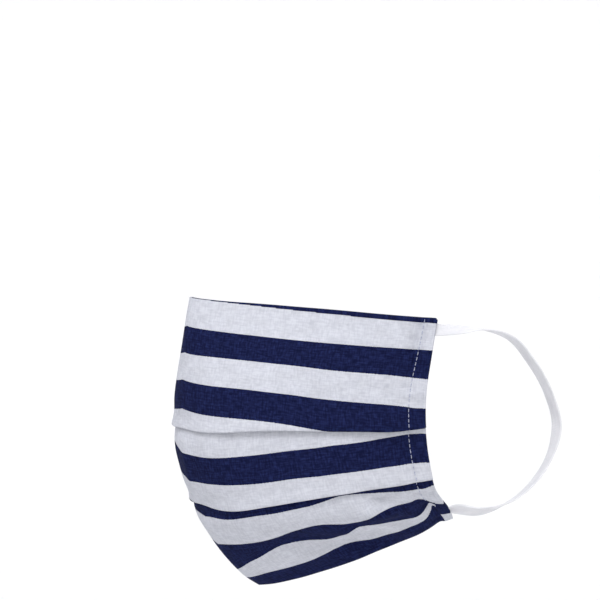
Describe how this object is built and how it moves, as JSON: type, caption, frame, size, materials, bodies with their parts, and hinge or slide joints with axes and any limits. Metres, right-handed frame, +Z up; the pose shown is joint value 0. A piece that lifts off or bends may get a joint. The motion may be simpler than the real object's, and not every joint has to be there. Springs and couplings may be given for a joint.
{
  "type": "cloth face mask",
  "caption": "Pleated cloth face mask with woven stripes and flat elastic ear loops, in the form that it has when worn.",
  "frame": {"origin": "middle of the panel's top edge, where the mask sits on the bridge of the nose", "axes": "+Z up, -Y the way the wearer looks, +X to the wearer's left"},
  "size_m": [0.1558, 0.1401, 0.124],
  "materials": {
    "striped_cotton": "matt woven",
    "white_elastic": "matt braided"
  },
  "bodies": {
    "root": {"pleated_panel": "striped_cotton", "side_hem_left": "striped_cotton", "side_hem_right": "striped_cotton", "ear_loop_left": "white_elastic", "ear_loop_right": "white_elastic"}
  },
  "joints": []
}
